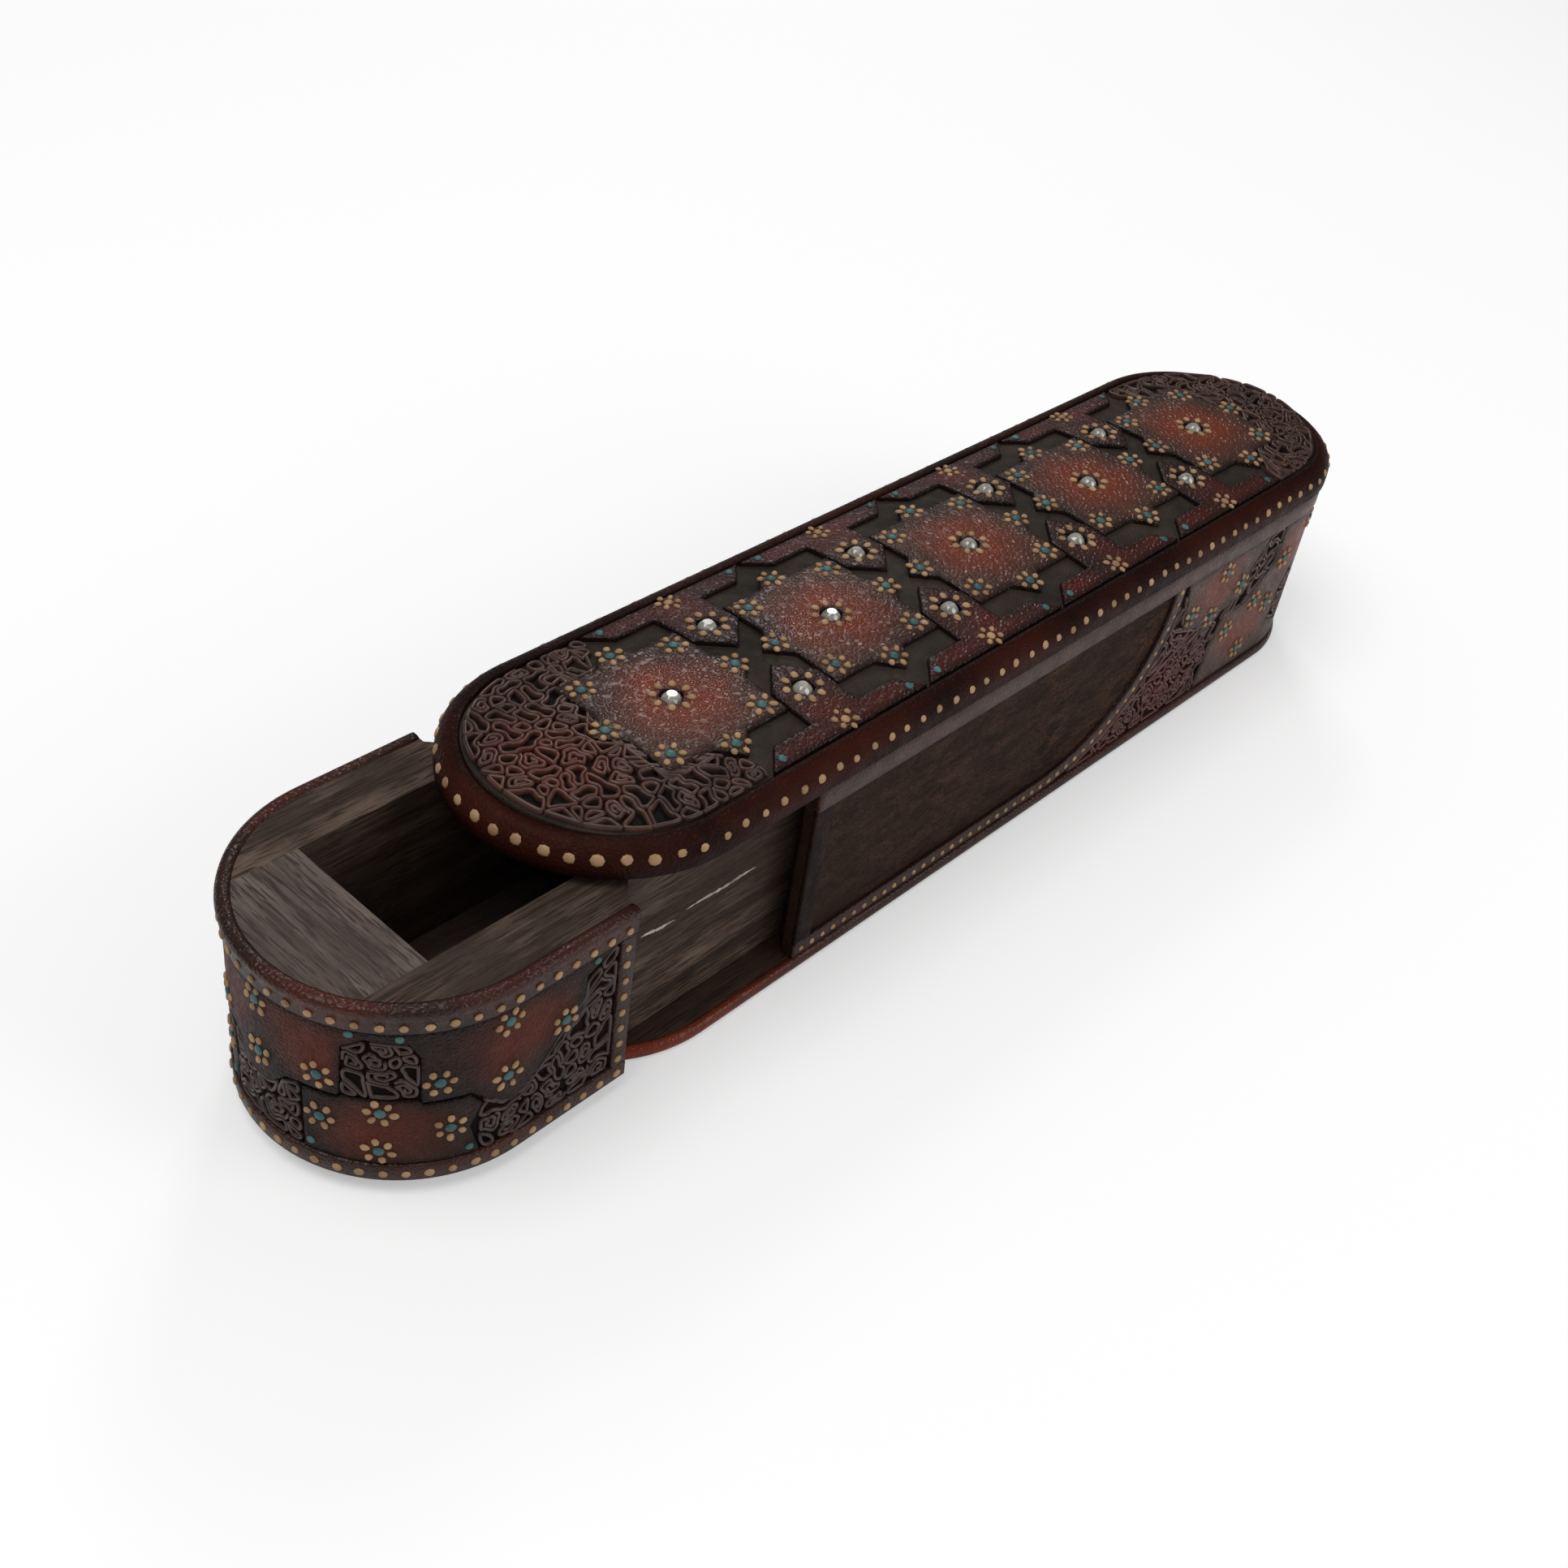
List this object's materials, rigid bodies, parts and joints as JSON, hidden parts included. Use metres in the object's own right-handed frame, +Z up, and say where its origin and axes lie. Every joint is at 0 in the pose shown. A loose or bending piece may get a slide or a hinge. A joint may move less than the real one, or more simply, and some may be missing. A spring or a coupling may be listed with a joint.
{
  "type": "sliding-drawer pen box",
  "caption": "Long round-ended wooden pen box covered in carved and beaded leather, with a drawer that slides out of the front of its sleeve.",
  "frame": {"origin": "middle of the underside of the base board", "axes": "+X along the box towards its closed rear end, the drawer's nose towards -X; +Z up; -Y is the side seen in the picture"},
  "size_m": [0.2999, 0.06, 0.0539],
  "materials": {
    "old_wood": "bare, grey-brown and stained",
    "panel_leather": "dark grained leather with red glow, lacquered",
    "edge_leather": "smooth burnished leather",
    "channel_leather": "grey-green stained leather",
    "quilled_leather": "thin cut leather cord",
    "clear_glass": "cut glass stones"
  },
  "bodies": {
    "case": {"base_board": "old_wood", "base_edge_leather": "edge_leather", "lid_board": "old_wood", "lid_filigree_front": "quilled_leather", "lid_filigree_rear": "quilled_leather", "lid_ground_leather": "channel_leather", "lid_rim_leather": "edge_leather", "lid_side_panels_left": "panel_leather", "lid_side_panels_right": "panel_leather", "lid_star_panels": "panel_leather", "lid_stones": "clear_glass", "rear_block": "old_wood", "rear_field_leather": "panel_leather", "rear_leather": "panel_leather", "side_field_left": "panel_leather", "side_field_right": "panel_leather", "side_filigree_left": "quilled_leather", "side_filigree_right": "quilled_leather", "side_front_strip_left": "edge_leather", "side_front_strip_right": "edge_leather", "side_strap_left": "edge_leather", "side_strap_right": "edge_leather", "side_top_band": "edge_leather", "side_wall_left": "old_wood", "side_wall_right": "old_wood"},
    "drawer": {"drawer_floor": "old_wood", "drawer_front_block": "old_wood", "drawer_rail_left": "old_wood", "drawer_rail_right": "old_wood", "drawer_rear_block": "old_wood", "nose_cheek_left": "edge_leather", "nose_cheek_right": "edge_leather", "nose_field_leather": "panel_leather", "nose_filigree_front": "quilled_leather", "nose_filigree_sides": "quilled_leather", "nose_foot_leather": "edge_leather", "nose_ground_leather": "panel_leather", "nose_rim_leather": "edge_leather"}
  },
  "joints": [
    {"name": "drawer_slide", "type": "slide", "parent": "case", "child": "drawer", "axis": [-1, 0, 0], "range_m": [-0.0439, 0.106]}
  ]
}
